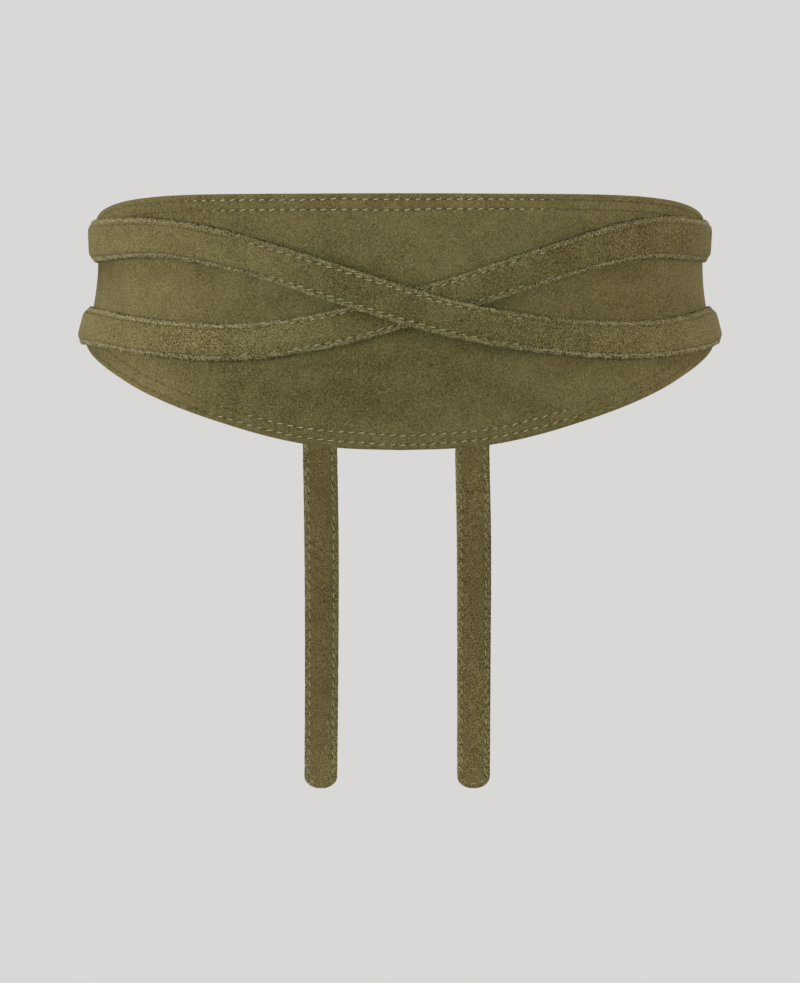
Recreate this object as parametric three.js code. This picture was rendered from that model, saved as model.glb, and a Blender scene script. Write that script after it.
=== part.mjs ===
// A suede cummerbund in the form it has on a waist: a tall front panel that tapers towards the
// back, and two long double-layer ties that cross behind, come round the sides, cross again over
// the front, go round below, are knotted behind and hang down.
// Millimetres, +Z up. The front faces -Y and the wearer's left is +X. The origin is the centre of
// the waist opening, at the height where the waist is narrowest.
// Angles are in degrees, counted round the waist from the front towards +X, with 180 behind. A
// tie counts its own turn the same way, from the front towards the side it starts on, so that it
// starts near 112, passes behind at 180 and in front at 360, and is knotted behind near 540.
import * as THREE from "three";

// The outer face of the panel is a rounded ellipse at each height. It flares above and below.
const WAIST_HALF_WIDTH = 125.2;
const WAIST_HALF_DEPTH = 92;
const WAIST_SQUARENESS = 2.25;
const FLARE_START = 48;
const HIP_FLARE = { side: 0.55, front: 0.12, back: 0.3 };
const RIB_FLARE = { side: 0.25, front: 0.1, back: 0.1 };

// The panel: its wall, and its outline as edge heights at angles from the front.
const PANEL_WALL = 2.4;
const PANEL_END = 122;
const PANEL_COLUMNS = 64;
const PANEL_ROWS = 11;
const PANEL_EDGE_PINCH = 0.5;
const PANEL_EDGE_BAND = 1;
const PANEL_OUTLINE = [
  { angle: 0, top: 25.0, bottom: -77.7 },
  { angle: 14, top: 25.0, bottom: -76.8 },
  { angle: 23, top: 25.0, bottom: -74.9 },
  { angle: 32, top: 25.1, bottom: -71.1 },
  { angle: 40, top: 25.2, bottom: -66.4 },
  { angle: 48, top: 25.2, bottom: -60.9 },
  { angle: 57, top: 24.9, bottom: -53.6 },
  { angle: 66, top: 23.9, bottom: -45.5 },
  { angle: 73, top: 22.4, bottom: -39.9 },
  { angle: 80, top: 20.3, bottom: -35.0 },
  { angle: 90, top: 16.8, bottom: -29.8 },
  { angle: 100, top: 11.8, bottom: -25.1 },
  { angle: 110, top: 6.2, bottom: -20.7 },
  { angle: 122, top: -0.4, bottom: -15.7 },
];

// The ties: two layers of suede, thickest between the two stitch rows, with pressed down edges.
// A section's corners are shares of half the width and half the thickness, first along the outer
// face and then back along the inner face.
const TIE_START = 112;
const TIE_STEP = 4;
const TIE_THICKNESS = 3.1;
const TIE_SECTION = [
  { across: -1, outward: -0.16 },
  { across: -0.72, outward: 0.9 },
  { across: 0, outward: 1 },
  { across: 0.72, outward: 0.9 },
  { across: 1, outward: -0.16 },
  { across: 1, outward: -0.7 },
  { across: 0.92, outward: -1 },
  { across: 0, outward: -1 },
  { across: -0.92, outward: -1 },
  { across: -1, outward: -0.7 },
];

// How far a tie's inner face stands off the waist: lying on the panel at the front and the back,
// a little more on the sides, and more again where it lies over the other tie.
const LIFT = { least: 0.6, side: 0.15, overTie: 3.7, ramp: 19 };

// A tie's route is the height of its middle and its width at turns. Both ties take the same way
// behind and on the last round, and their own way over the front.
const ROUTE_BEHIND = [
  { turn: 104, height: -8.4, width: 15.0 },
  { turn: 122, height: -8.0, width: 15.2 },
  { turn: 135, height: -6.4, width: 15.4 },
  { turn: 158, height: -3.0, width: 15.7 },
  { turn: 180, height: 0.5, width: 16.0 },
  { turn: 202, height: 4.0, width: 16.3 },
  { turn: 225, height: 7.4, width: 16.4 },
  { turn: 242, height: 9.2, width: 16.5 },
  { turn: 270, height: 9.7, width: 16.7 },
  { turn: 286, height: 9.2, width: 17.0 },
];
const RIGHT_ROUTE_IN_FRONT = [
  { turn: 298, height: 9.1, width: 16.2 },
  { turn: 304, height: 8.5, width: 15.4 },
  { turn: 317, height: 4.0, width: 15.4 },
  { turn: 330, height: -3.0, width: 15.1 },
  { turn: 345, height: -11.6, width: 15.4 },
  { turn: 360, height: -19.7, width: 15.3 },
  { turn: 372, height: -25.4, width: 15.0 },
  { turn: 385, height: -30.0, width: 14.8 },
  { turn: 398, height: -32.3, width: 15.0 },
  { turn: 411, height: -33.2, width: 15.2 },
  { turn: 421, height: -32.1, width: 15.3 },
  { turn: 431, height: -29.0, width: 15.6 },
];
const LEFT_ROUTE_IN_FRONT = [
  { turn: 297, height: 9.3, width: 17.0 },
  { turn: 303, height: 8.4, width: 16.0 },
  { turn: 312, height: 4.6, width: 15.1 },
  { turn: 325, height: -3.1, width: 14.5 },
  { turn: 339, height: -11.5, width: 14.5 },
  { turn: 348, height: -16.5, width: 14.6 },
  { turn: 358, height: -21.2, width: 14.7 },
  { turn: 367, height: -25.4, width: 14.7 },
  { turn: 376, height: -29.3, width: 14.7 },
  { turn: 385, height: -32.2, width: 14.7 },
  { turn: 398, height: -34.4, width: 15.0 },
  { turn: 410, height: -33.3, width: 15.0 },
  { turn: 420, height: -31.1, width: 14.8 },
  { turn: 430, height: -28.2, width: 14.9 },
];
const ROUTE_LAST_ROUND = [
  { turn: 442, height: -26.0, width: 15.6 },
  { turn: 456, height: -25.0, width: 15.8 },
  { turn: 480, height: -25.2, width: 15.4 },
  { turn: 504, height: -25.3, width: 15.2 },
];

// The two ties. "over" is the stretch of turns in which a tie lies on the other one, "atopKnot"
// says which of them is on top at the knot's outer crossings, and "hang" is the free end's place
// and width at distances below the waist.
const RIGHT_TIE = {
  name: "tie_right",
  side: 1,
  over: [341, 383],
  atopKnot: 1,
  route: [...ROUTE_BEHIND, ...RIGHT_ROUTE_IN_FRONT, ...ROUTE_LAST_ROUND],
  hang: [
    { below: 78, x: -34.5, width: 14.8 },
    { below: 113, x: -33.9, width: 14.8 },
    { below: 167, x: -33.8, width: 14.4 },
    { below: 222.4, x: -34.2, width: 14.1 },
  ],
};
const LEFT_TIE = {
  name: "tie_left",
  side: -1,
  over: [134, 228],
  atopKnot: -1,
  route: [...ROUTE_BEHIND, ...LEFT_ROUTE_IN_FRONT, ...ROUTE_LAST_ROUND],
  hang: [
    { below: 78, x: 31.2, width: 14.8 },
    { below: 113, x: 31.9, width: 14.8 },
    { below: 167, x: 31.9, width: 14.4 },
    { below: 222.4, x: 31.7, width: 14.1 },
  ],
};

// The half knot behind: the two ties, gathered narrow, wind round each other with three
// crossings, and each leaves on the side away from where it came in and turns down.
const KNOT = {
  angle: 180.8,
  height: -25.5,
  pitch: 9.5,
  crossings: 3,
  rise: 5.3,
  depth: 2.8,
  width: 8.6,
  thickness: 4.8,
  step: 1.2,
  turnRadius: 8.7,
  turnSteps: 8,
};
const FULL_TURN_BEHIND = 540;

// The free ends: they open out flat below the knot and end in a shallow rounded tip.
const HANG_STEP = 12;
const HANG_OPENS_OVER = 26;
const HANG_THICKNESS = 2.6;
const TIP_LENGTH = 5;
const TIP_SHAPE = [
  { along: 0, width: 1 },
  { along: 0.35, width: 0.94 },
  { along: 0.62, width: 0.81 },
  { along: 0.82, width: 0.63 },
  { along: 0.95, width: 0.41 },
  { along: 1, width: 0.2 },
];

const PANEL_FINISH = { color: 0x6b6342, roughness: 0.95, metalness: 0 };
const TIE_FINISH = { color: 0x73694a, roughness: 0.95, metalness: 0 };

const radians = THREE.MathUtils.degToRad;
const mix = THREE.MathUtils.lerp;
const smoothstep = THREE.MathUtils.smoothstep;

// A smooth curve through a table's rows: it gives every other column at a value of the first.
function curveThrough(rows, key) {
  const columns = Object.keys(rows[0]).filter((name) => name !== key);
  const places = rows.map((row) => row[key]);
  const values = rows.flatMap((row) => columns.map((name) => row[name]));
  const curve = new THREE.CubicInterpolant(places, values, columns.length);
  return (place) => {
    const found = curve.evaluate(place);
    return Object.fromEntries(columns.map((name, i) => [name, found[i]]));
  };
}

// How far the body swells out from the waist at a height, for one direction.
function swell(height, direction) {
  const slope = height < 0 ? HIP_FLARE[direction] : RIB_FLARE[direction];
  return slope * (Math.hypot(height, FLARE_START) - FLARE_START);
}

// A point on the outer face of the panel, or where that face would go on.
function waistPoint(angle, height) {
  const across = Math.sin(radians(angle));
  const forward = Math.cos(radians(angle));
  const halfWidth = WAIST_HALF_WIDTH + swell(height, "side");
  const halfDepth = WAIST_HALF_DEPTH + swell(height, forward > 0 ? "front" : "back");
  const reach =
    Math.abs(across / halfWidth) ** WAIST_SQUARENESS +
    Math.abs(forward / halfDepth) ** WAIST_SQUARENESS;
  const radius = reach ** (-1 / WAIST_SQUARENESS);
  return new THREE.Vector3(radius * across, -radius * forward, height);
}

// The direction straight out of that face.
function waistNormal(angle, height) {
  const nudge = 0.05;
  const round = waistPoint(angle + nudge, height).sub(waistPoint(angle - nudge, height));
  const up = waistPoint(angle, height + nudge).sub(waistPoint(angle, height - nudge));
  return round.cross(up).normalize();
}

function liftedPoint(angle, height, lift) {
  return waistPoint(angle, height).addScaledVector(waistNormal(angle, height), lift);
}

// A closed body through a row of sections. A section has its outer points in order and then its
// inner points back again, so each end closes as a ladder between the two.
function closedLoft(sections, mirrored) {
  const count = sections[0].length;
  const half = count / 2;
  const triangles = [];
  const quad = (a, b, c, d) => {
    triangles.push(...(mirrored ? [a, c, b, a, d, c] : [a, b, c, a, c, d]));
  };
  for (let s = 0; s + 1 < sections.length; s += 1) {
    const here = s * count;
    const there = here + count;
    for (let i = 0; i < count; i += 1) {
      const next = (i + 1) % count;
      quad(here + i, there + i, there + next, here + next);
    }
  }
  const last = (sections.length - 1) * count;
  for (let i = 0; i + 1 < half; i += 1) {
    quad(i, i + 1, count - 2 - i, count - 1 - i);
    quad(last + i, last + count - 1 - i, last + count - 2 - i, last + i + 1);
  }
  const positions = sections.flat().flatMap((point) => point.toArray());
  const geometry = new THREE.BufferGeometry();
  geometry.setAttribute("position", new THREE.Float32BufferAttribute(positions, 3));
  geometry.setIndex(triangles);
  geometry.computeVertexNormals();
  return geometry;
}

function namedMesh(name, geometry, finish) {
  const mesh = new THREE.Mesh(geometry, new THREE.MeshStandardMaterial(finish));
  mesh.name = name;
  return mesh;
}

// One upright slice of the panel, its edges a little thinner than its wall.
function panelSection(angle, outline) {
  const { top, bottom } = outline(Math.abs(angle));
  const heights = [bottom];
  for (let row = 0; row < PANEL_ROWS; row += 1) {
    const share = row / (PANEL_ROWS - 1);
    heights.push(mix(bottom + PANEL_EDGE_BAND, top - PANEL_EDGE_BAND, share));
  }
  heights.push(top);
  const pinch = (height) => (height === top || height === bottom ? PANEL_EDGE_PINCH : 0);
  const outer = heights.map((height) => liftedPoint(angle, height, -pinch(height)));
  const inner = heights.map((height) => liftedPoint(angle, height, -PANEL_WALL));
  return [...outer, ...inner.reverse()];
}

function frontPanel() {
  const outline = curveThrough(PANEL_OUTLINE, "angle");
  const sections = [];
  for (let column = 0; column <= PANEL_COLUMNS; column += 1) {
    const angle = mix(-PANEL_END, PANEL_END, column / PANEL_COLUMNS);
    sections.push(panelSection(angle, outline));
  }
  return namedMesh("front_panel", closedLoft(sections, false), PANEL_FINISH);
}

// How far a tie's inner face stands off the waist at a turn.
function tieLift(tie, turn) {
  const [from, to] = tie.over;
  const onOther =
    smoothstep(turn, from - LIFT.ramp, from) - smoothstep(turn, to, to + LIFT.ramp);
  const sideways = Math.abs(Math.sin(radians(turn))) ** 3;
  return LIFT.least + LIFT.side * sideways + LIFT.overTie * onOther;
}

// A station is a place along a tie: its centre, the direction out of it, its width and thickness.
function stationOnWaist(tie, turn, height, lift, width, thickness) {
  const angle = tie.side * turn;
  return {
    centre: liftedPoint(angle, height, lift),
    out: waistNormal(angle, height),
    width,
    thickness,
  };
}

// From the seam on the panel's end, behind, over the front and round to the knot.
function wrapStations(tie) {
  const route = curveThrough(tie.route, "turn");
  const end = tie.route.at(-1).turn;
  const steps = Math.round((end - TIE_START) / TIE_STEP);
  const stations = [];
  for (let i = 0; i < steps; i += 1) {
    const turn = mix(TIE_START, end, i / steps);
    const { height, width } = route(turn);
    const lift = tieLift(tie, turn) + TIE_THICKNESS / 2;
    stations.push(stationOnWaist(tie, turn, height, lift, width, TIE_THICKNESS));
  }
  return stations;
}

// The gathered stretch: it narrows on its way in, winds through the crossings and turns down.
function knotStations(tie) {
  const { turn: start, height: startHeight, width: startWidth } = tie.route.at(-1);
  const middle = FULL_TURN_BEHIND + tie.side * (KNOT.angle - 180);
  const halfSpan = (KNOT.crossings * KNOT.pitch) / 2;
  const entry = middle - halfSpan;
  const exit = middle + halfSpan;
  const middleLift = LIFT.least + KNOT.depth + KNOT.thickness / 2;
  const stations = [];
  const add = (turn, height, lift, width, thickness) => {
    stations.push(stationOnWaist(tie, turn, height, lift, width, thickness));
  };

  const gathering = Math.round((entry - start) / (KNOT.step * 2));
  for (let i = 0; i < gathering; i += 1) {
    const turn = mix(start, entry, i / gathering);
    const gathered = smoothstep(turn, start, entry);
    add(
      turn,
      mix(startHeight, KNOT.height + KNOT.rise, gathered),
      mix(tieLift(tie, turn) + TIE_THICKNESS / 2, middleLift, gathered),
      mix(startWidth, KNOT.width, gathered),
      mix(TIE_THICKNESS, KNOT.thickness, gathered),
    );
  }

  const winding = Math.round((exit - entry) / KNOT.step);
  for (let i = 0; i <= winding; i += 1) {
    const phase = (Math.PI * KNOT.crossings * i) / winding;
    add(
      mix(entry, exit, i / winding),
      KNOT.height + KNOT.rise * Math.cos(phase),
      middleLift + tie.atopKnot * KNOT.depth * Math.sin(phase),
      KNOT.width,
      KNOT.thickness,
    );
  }

  const degreesPerLength = 1 / radians(WAIST_HALF_DEPTH + middleLift);
  for (let i = 1; i <= KNOT.turnSteps; i += 1) {
    const bend = (Math.PI / 2) * (i / KNOT.turnSteps);
    const along = KNOT.turnRadius * Math.sin(bend) * degreesPerLength;
    const drop = KNOT.turnRadius * (1 - Math.cos(bend));
    add(exit + along, KNOT.height - KNOT.rise - drop, middleLift, KNOT.width, KNOT.thickness);
  }
  return stations;
}

// The free end, from the knot straight down to its rounded tip. It faces straight back.
function hangStations(tie, knotEnd) {
  const hang = curveThrough(tie.hang, "below");
  const back = new THREE.Vector3(0, 1, 0);
  const start = -knotEnd.centre.z;
  const bottom = tie.hang.at(-1).below;
  const at = (below, narrowing) => {
    const { x, width } = hang(Math.max(below, tie.hang[0].below));
    const settled = smoothstep(below, start, tie.hang[0].below);
    const opened = smoothstep(below, start, start + HANG_OPENS_OVER);
    return {
      centre: new THREE.Vector3(mix(knotEnd.centre.x, x, settled), knotEnd.centre.y, -below),
      out: knotEnd.out.clone().lerp(back, opened).normalize(),
      width: mix(knotEnd.width, width, opened) * narrowing,
      thickness: mix(knotEnd.thickness, HANG_THICKNESS, opened),
    };
  };
  const tipStart = bottom - TIP_LENGTH;
  const steps = Math.round((tipStart - start) / HANG_STEP);
  const stations = [];
  for (let i = 1; i < steps; i += 1) {
    stations.push(at(mix(start, tipStart, i / steps), 1));
  }
  for (const { along, width } of TIP_SHAPE) {
    stations.push(at(tipStart + TIP_LENGTH * along, width));
  }
  return stations;
}

// The corners of a tie's section at a station, square to the way from the last to the next.
function tieSection(station, before, after, side) {
  const along = after.centre.clone().sub(before.centre).normalize();
  const out = station.out.clone().addScaledVector(along, -station.out.dot(along)).normalize();
  const up = out.clone().cross(along).multiplyScalar(side);
  return TIE_SECTION.map(({ across, outward }) =>
    station.centre
      .clone()
      .addScaledVector(up, (across * station.width) / 2)
      .addScaledVector(out, (outward * station.thickness) / 2),
  );
}

function tieMesh(tie) {
  const stations = [...wrapStations(tie), ...knotStations(tie)];
  stations.push(...hangStations(tie, stations.at(-1)));
  const sections = stations.map((station, i) => {
    const before = stations[Math.max(i - 1, 0)];
    const after = stations[Math.min(i + 1, stations.length - 1)];
    return tieSection(station, before, after, tie.side);
  });
  return namedMesh(tie.name, closedLoft(sections, tie.side < 0), TIE_FINISH);
}

const cummerbund = new THREE.Group();
cummerbund.add(frontPanel(), tieMesh(RIGHT_TIE), tieMesh(LEFT_TIE));

export default cummerbund;
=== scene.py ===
# A suede cummerbund in the form it has on a waist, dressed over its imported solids: the fine
# panel and ties with their sewn grooves, the stitching, and the hairy raw edges.
# Sizes are in millimetres and angles in degrees. Meshes, lights and the camera are made in
# metres. +Z is up, the front faces -Y and the wearer's left is +X.
import math

import bpy
import numpy as np
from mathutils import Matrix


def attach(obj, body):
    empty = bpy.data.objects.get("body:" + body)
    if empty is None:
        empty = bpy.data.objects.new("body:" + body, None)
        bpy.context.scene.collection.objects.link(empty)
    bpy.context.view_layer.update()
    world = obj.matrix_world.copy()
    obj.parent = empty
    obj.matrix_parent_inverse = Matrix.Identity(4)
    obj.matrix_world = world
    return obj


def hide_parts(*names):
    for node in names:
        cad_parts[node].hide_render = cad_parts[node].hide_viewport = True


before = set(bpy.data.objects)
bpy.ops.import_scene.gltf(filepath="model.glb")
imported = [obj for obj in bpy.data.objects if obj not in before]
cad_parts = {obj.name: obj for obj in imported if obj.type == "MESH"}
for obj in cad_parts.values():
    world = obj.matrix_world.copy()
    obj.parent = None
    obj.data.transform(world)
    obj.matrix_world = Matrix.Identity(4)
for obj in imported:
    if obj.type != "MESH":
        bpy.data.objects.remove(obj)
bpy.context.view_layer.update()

MM = 0.001

# The picture: how far the lens is from the waist's middle, its height, and the pixels that a
# slope of one takes.
PICTURE_HEIGHT = 983
LENS_DISTANCE = 2500
LENS_HEIGHT = -94.3
PIXELS_PER_SLOPE = 6020
SENSOR = 36

# The waist that the belt follows. It is a rounded ellipse that flares above and below.
WAIST_HALF_WIDTH = 125.2
WAIST_HALF_DEPTH = 92
WAIST_SQUARENESS = 2.25
FLARE_START = 48
HIP_FLARE = {"side": 0.55, "front": 0.12, "back": 0.3}
RIB_FLARE = {"side": 0.25, "front": 0.1, "back": 0.1}

# The panel's outline: the heights of its edges at angles from the front.
PANEL_WALL = 2.4
PANEL_END = 122
PANEL_OUTLINE = [
    # angle, top, bottom
    (0, 25.0, -77.7),
    (14, 25.0, -76.8),
    (23, 25.0, -74.9),
    (32, 25.1, -71.1),
    (40, 25.2, -66.4),
    (48, 25.2, -60.9),
    (57, 24.9, -53.6),
    (66, 23.9, -45.5),
    (73, 22.4, -39.9),
    (80, 20.3, -35.0),
    (90, 16.8, -29.8),
    (100, 11.8, -25.1),
    (110, 6.2, -20.7),
    (122, -0.4, -15.7),
]
PANEL_HALF_HEIGHT = -20
PANEL_FULLER_AT_SIDES = 0.13

# The panel's mesh: its columns, the rows of its outer face, which crowd towards each edge, and
# how its edges are rounded. PANEL_RIM is how far in from an edge and out from the inner face
# the rim is.
PANEL_COLUMN_STEP = 1.15
PANEL_EDGE_ZONE = 9
PANEL_EDGE_ZONE_SHARE = 0.44
PANEL_EDGE_ROWS = 26
PANEL_ROWS_CROWD = 1.15
PANEL_MIDDLE_ROWS = 44
PANEL_INNER_ROWS = 22
PANEL_EDGE_RADIUS = 1.0
PANEL_RIM = {"in": 0.08, "out": 0.5}
PANEL_INNER_SHORTER = 0.5

# The panel's seams, as distances from its edges, and how far the sewing strays from those. The
# way round is longer at the bottom edge than at half height, by BOTTOM_LONGER on average.
TOP_SEAMS = (2.36, 6.5)
BOTTOM_SEAMS = (2.25, 6.05)
BOTTOM_LONGER = 1.075
SEAMS_STRAY = [
    # angle, top outer, top inner, bottom outer, bottom inner
    (-43, 0.1, 0.15, -0.3, -0.1),
    (-33, 0.1, -0.05, 0.1, -0.15),
    (-20, 0.1, 0.0, 0.25, 0.15),
    (-14, -0.3, 0.0, 0.3, 0.3),
    (-10, 0.0, 0.0, 0.35, 0.4),
    (-5, 0.1, 0.25, -0.1, 0.0),
    (0, 0.1, 0.2, -0.4, -0.45),
    (5, 0.0, -0.1, -0.3, -0.3),
    (10, 0.0, -0.3, 0.0, -0.1),
    (20, -0.15, -0.3, 0.25, 0.0),
    (30, -0.1, -0.35, 0.4, 0.2),
    (43, 0.1, -0.3, 0.2, 0.1),
]

# The ties: two layers with a seam near each edge.
TIE_START = 112
TIE_THICKNESS = 3.1
TIE_SEAM = 2.35
TIE_SEAM_FURTHER_IN = {"upper": 0.3, "lower": -0.4, "hanging": 0.15}
LIFT = {"least": 0.6, "side": 0.15, "over_tie": 3.7, "ramp": 19}

# A tie's route round the waist: the height of its middle and its width at turns.
ROUTE_BEHIND = [
    # turn, height, width
    (104, -8.4, 15.0),
    (122, -8.0, 15.2),
    (135, -6.4, 15.4),
    (158, -3.0, 15.7),
    (180, 0.5, 16.0),
    (202, 4.0, 16.3),
    (225, 7.4, 16.4),
    (242, 9.2, 16.5),
    (270, 9.7, 16.7),
    (286, 9.2, 17.0),
]
RIGHT_ROUTE_IN_FRONT = [
    # turn, height, width
    (298, 9.1, 16.2),
    (304, 8.5, 15.4),
    (317, 4.0, 15.4),
    (330, -3.0, 15.1),
    (345, -11.6, 15.4),
    (360, -19.7, 15.3),
    (372, -25.4, 15.0),
    (385, -30.0, 14.8),
    (398, -32.3, 15.0),
    (411, -33.2, 15.2),
    (421, -32.1, 15.3),
    (431, -29.0, 15.6),
]
LEFT_ROUTE_IN_FRONT = [
    # turn, height, width
    (297, 9.3, 17.0),
    (303, 8.4, 16.0),
    (312, 4.6, 15.1),
    (325, -3.1, 14.5),
    (339, -11.5, 14.5),
    (348, -16.5, 14.6),
    (358, -21.2, 14.7),
    (367, -25.4, 14.7),
    (376, -29.3, 14.7),
    (385, -32.2, 14.7),
    (398, -34.4, 15.0),
    (410, -33.3, 15.0),
    (420, -31.1, 14.8),
    (430, -28.2, 14.9),
]
ROUTE_LAST_ROUND = [
    # turn, height, width
    (442, -26.0, 15.6),
    (456, -25.0, 15.8),
    (480, -25.2, 15.4),
    (504, -25.3, 15.2),
]
FULL_TURN_BEHIND = 540

# The two ties. "over" is where a tie lies on the other one, "atop_knot" is 1 for the tie that is
# on top at the knot's outer crossings, and "hang" is the free end: distance below the waist's
# middle, x and width.
RIGHT_TIE = {
    "name": "right",
    "node": "tie_right",
    "side": 1,
    "over": (341, 383),
    "atop_knot": 1,
    "route": ROUTE_BEHIND + RIGHT_ROUTE_IN_FRONT + ROUTE_LAST_ROUND,
    "hang": [(78, -34.5, 14.8), (113, -33.9, 14.8), (167, -33.8, 14.4), (222.4, -34.2, 14.1)],
}
LEFT_TIE = {
    "name": "left",
    "node": "tie_left",
    "side": -1,
    "over": (134, 228),
    "atop_knot": -1,
    "route": ROUTE_BEHIND + LEFT_ROUTE_IN_FRONT + ROUTE_LAST_ROUND,
    "hang": [(78, 31.2, 14.8), (113, 31.9, 14.8), (167, 31.9, 14.4), (222.4, 31.7, 14.1)],
}

# The half knot behind, and the free ends that open out flat below it.
KNOT = {
    "angle": 180.8,
    "height": -25.5,
    "pitch": 9.5,
    "crossings": 3,
    "rise": 5.3,
    "depth": 2.8,
    "width": 8.6,
    "thickness": 4.8,
    "turn_radius": 8.7,
}
HANG_OPENS_OVER = 26
HANGS_BELOW = (45, 75)
HANG_THICKNESS = 2.6
TIP_LENGTH = 5
TIP_ROUNDNESS = 0.98

# How many points the round stretches get.
BEND_POINTS = 25
TIP_POINTS = 15
SEAM_ACROSS_POINTS = 40

# How closely a tie's stations follow each other: in degrees or millimetres while its route is
# worked out, and then in millimetres where it is seen in front, hangs or is hidden. It counts as
# in front more and more over the stretch TIE_FINE_FROM_TO, which is measured forward.
WAIST_STEP = 0.25
KNOT_STEP = 0.15
HANG_STEP = 0.5
TIE_SPACING = {"front": 0.62, "hanging": 0.8, "hidden": 1.4}
TIE_FINE_FROM_TO = (0, 15)

# The stitches: thread of a pale khaki, each one turned a little from its seam.
STITCH_PITCH = 4.22
STITCH_LENGTH = {"panel": 2.7, "tie": 2.55}
STITCH_WIDTH = {"panel": 0.4, "tie": 0.35}
STITCH_TURN = 10

# Where the nap closes over the seams, as angles from the front: it does so on both sides of the
# waist, and not in front or behind. It may do so sooner or, below zero, later: the first number
# is for the wearer's right and the second for the left. FAR_SIDES are where the belt begins and
# ceases to be seen edge on.
NAP_CLOSES = {"panel": (34, 58), "tie": (26, 45)}
NAP_OPENS = (128, 150)
CLOSES_SOONER = {"panel": (0, 12), "tie": (0, 0)}
PANEL_ROWS_CLOSE_SOONER = [
    # wearer's right, wearer's left, for the top outer, top inner, bottom outer, bottom inner row
    (-7, 11),
    (-2, 9),
    (0, 4),
    (7, 4),
]
FAR_SIDES = {"from": (60, 78), "to": (104, 124)}

# Where the random numbers of each thing start.
SEEDS = {
    "panel_waves": 11,
    "panel_ripples": 12,
    "panel_stitches": 40,
    "rims": 77,
    "ties": 100,
    "tie_stitches": 200,
    "fibres": 300,
}


# Curves, waves and meshes.

def smoothstep(value, low, high):
    share = np.clip((value - low) / (high - low), 0, 1)
    return share * share * (3 - 2 * share)


def mix(first, second, share):
    return first + (second - first) * share


def bell(value, middle, half_width):
    """1 in the middle, and softly falling to 0 on both sides."""
    return np.exp(-(((value - middle) / half_width) ** 2))


def unit(vectors):
    return vectors / np.linalg.norm(vectors, axis=-1, keepdims=True)


def squared_to(along, vectors):
    """Unit vectors that are turned just enough to stand square to the way along."""
    return unit(vectors - along * np.sum(vectors * along, axis=1, keepdims=True))


def curve_through(rows):
    """A smooth curve through a table: it gives the other columns at values of the first."""
    table = np.array(rows, float)
    places = table[:, 0]
    values = table[:, 1:]
    slopes = np.gradient(values, places, axis=0)

    def at(place):
        place = np.asarray(place, float)
        i = np.clip(np.searchsorted(places, place) - 1, 0, len(places) - 2)
        length = places[i + 1] - places[i]
        t = ((place - places[i]) / length)[..., None]
        length = length[..., None]
        found = (
            (2 * t**3 - 3 * t**2 + 1) * values[i]
            + (t**3 - 2 * t**2 + t) * length * slopes[i]
            + (3 * t**2 - 2 * t**3) * values[i + 1]
            + (t**3 - t**2) * length * slopes[i + 1]
        )
        return np.moveaxis(found, -1, 0)

    return at


def line_lengths(points):
    return np.concatenate([[0], np.cumsum(np.linalg.norm(np.diff(points, axis=0), axis=1))])


def along_line(values, length, places):
    """Values, or points, of a line at some places between those where they are known."""
    if values.ndim == 1:
        return np.interp(places, length, values)
    return np.stack([np.interp(places, length, column) for column in values.T], axis=-1)


WAVE_LENGTHS_VARY = (0.7, 1.6)


def soft_waves(seed, length, count=12):
    """A gentle uneven surface: waves of about one length, in all directions, near 1 high."""
    draw = np.random.default_rng(seed)
    directions = draw.uniform(0, 2 * np.pi, count)
    lengths = length * draw.uniform(*WAVE_LENGTHS_VARY, count)
    phases = draw.uniform(0, 2 * np.pi, count)

    def at(along, across):
        total = 0
        for direction, wave, phase in zip(directions, lengths, phases):
            way = along * math.cos(direction) + across * math.sin(direction)
            total = total + np.sin(2 * np.pi * way / wave + phase)
        return total / math.sqrt(count)

    return at


def make_mesh(name, points, face_groups, material, masks, smooth=True):
    """A mesh object from points in millimetres. Each group's faces have as many corners, and a
    mask is a number at each point, which the material reads by its name."""
    loops = np.concatenate([group.ravel() for group in face_groups])
    sizes = np.concatenate([np.full(len(group), group.shape[1]) for group in face_groups])
    mesh = bpy.data.meshes.new(name)
    mesh.vertices.add(len(points))
    mesh.vertices.foreach_set("co", (points * MM).astype(np.float32).ravel())
    mesh.loops.add(len(loops))
    mesh.loops.foreach_set("vertex_index", loops.astype(np.int32))
    mesh.polygons.add(len(sizes))
    mesh.polygons.foreach_set("loop_start", (np.cumsum(sizes) - sizes).astype(np.int32))
    mesh.update(calc_edges=True)
    mesh.validate()
    if smooth:
        mesh.shade_smooth()
    mesh.materials.append(material)
    for mask, values in masks.items():
        attribute = mesh.attributes.new(mask, "FLOAT", "POINT")
        attribute.data.foreach_set("value", np.asarray(values, np.float32).ravel())
    piece = bpy.data.objects.new(name, mesh)
    bpy.context.scene.collection.objects.link(piece)
    return piece


def strip(first, second):
    """Triangles between two rows of points, walked at the same pace."""
    faces = []
    i = 0
    j = 0
    while i < len(first) - 1 or j < len(second) - 1:
        if (i + 1) * (len(second) - 1) <= (j + 1) * (len(first) - 1):
            faces.append([first[i], first[i + 1], second[j]])
            i += 1
        else:
            faces.append([first[i], second[j + 1], second[j]])
            j += 1
    return np.array(faces)


def closed_body(rings, count, outer_count, flipped=False):
    """Faces of a closed body through rings of points, of which the first are its outer face."""
    around = np.arange(count)
    following = (around + 1) % count
    start = (np.arange(rings - 1) * count)[:, None]
    corners = [start + around, start + count + around, start + count + following]
    corners.append(start + following)
    quads = np.stack(corners, axis=-1).reshape(-1, 4)
    near_end = strip(np.arange(outer_count), np.arange(outer_count, count)[::-1])
    far_end = near_end[:, ::-1] + (rings - 1) * count
    groups = [quads, np.concatenate([near_end, far_end])]
    return [group[:, ::-1] for group in groups] if flipped else groups


# The waist's surface.

NORMAL_NUDGE = 0.05


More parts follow.
